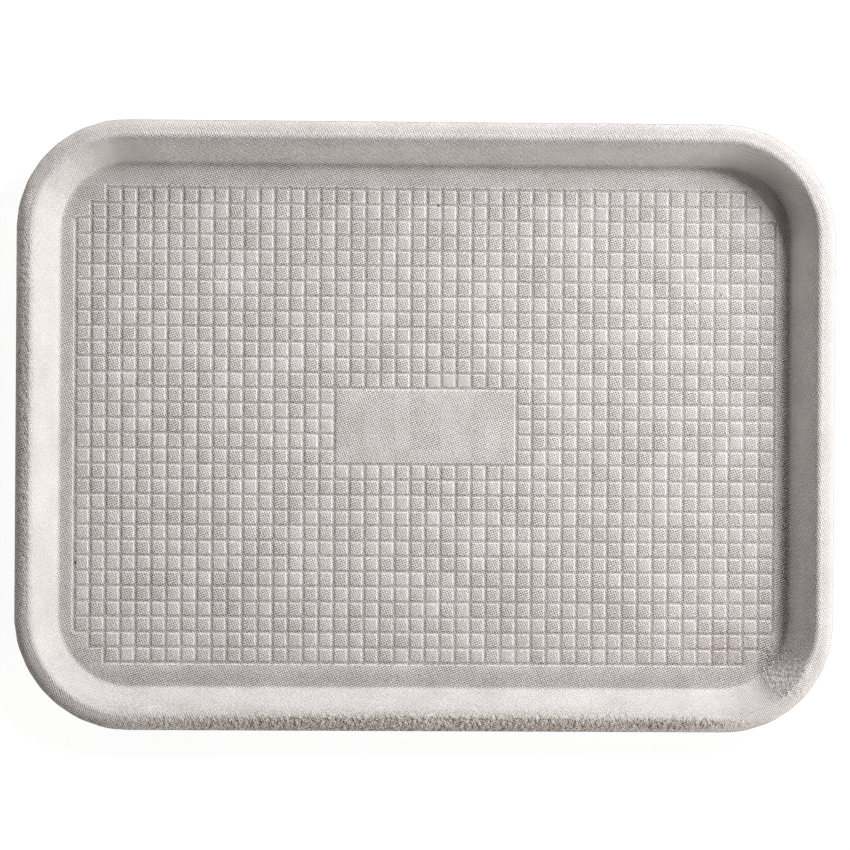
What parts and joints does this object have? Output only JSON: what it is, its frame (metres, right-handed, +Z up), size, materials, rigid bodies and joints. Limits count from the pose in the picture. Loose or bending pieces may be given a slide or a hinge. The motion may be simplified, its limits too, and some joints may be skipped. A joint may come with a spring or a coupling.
{
  "type": "molded fiber food tray",
  "caption": "Shallow rectangular molded fiber food tray with rounded corners, a leaning wall, a rim rolled outward and down, and a floor pressed into a grid of square pads around a bare plate",
  "frame": {"origin": "middle of the tray's underside, on the surface it rests on", "axes": "+X along the long side, +Y along the short side, +Z up out of the tray's well"},
  "size_m": [0.406, 0.302, 0.022],
  "materials": {
    "fiber": "off-white molded pulp, matt and lightly fibrous, with a fine wire-mesh imprint and pressed grooves"
  },
  "bodies": {
    "root": {"tray": "fiber"}
  },
  "joints": []
}
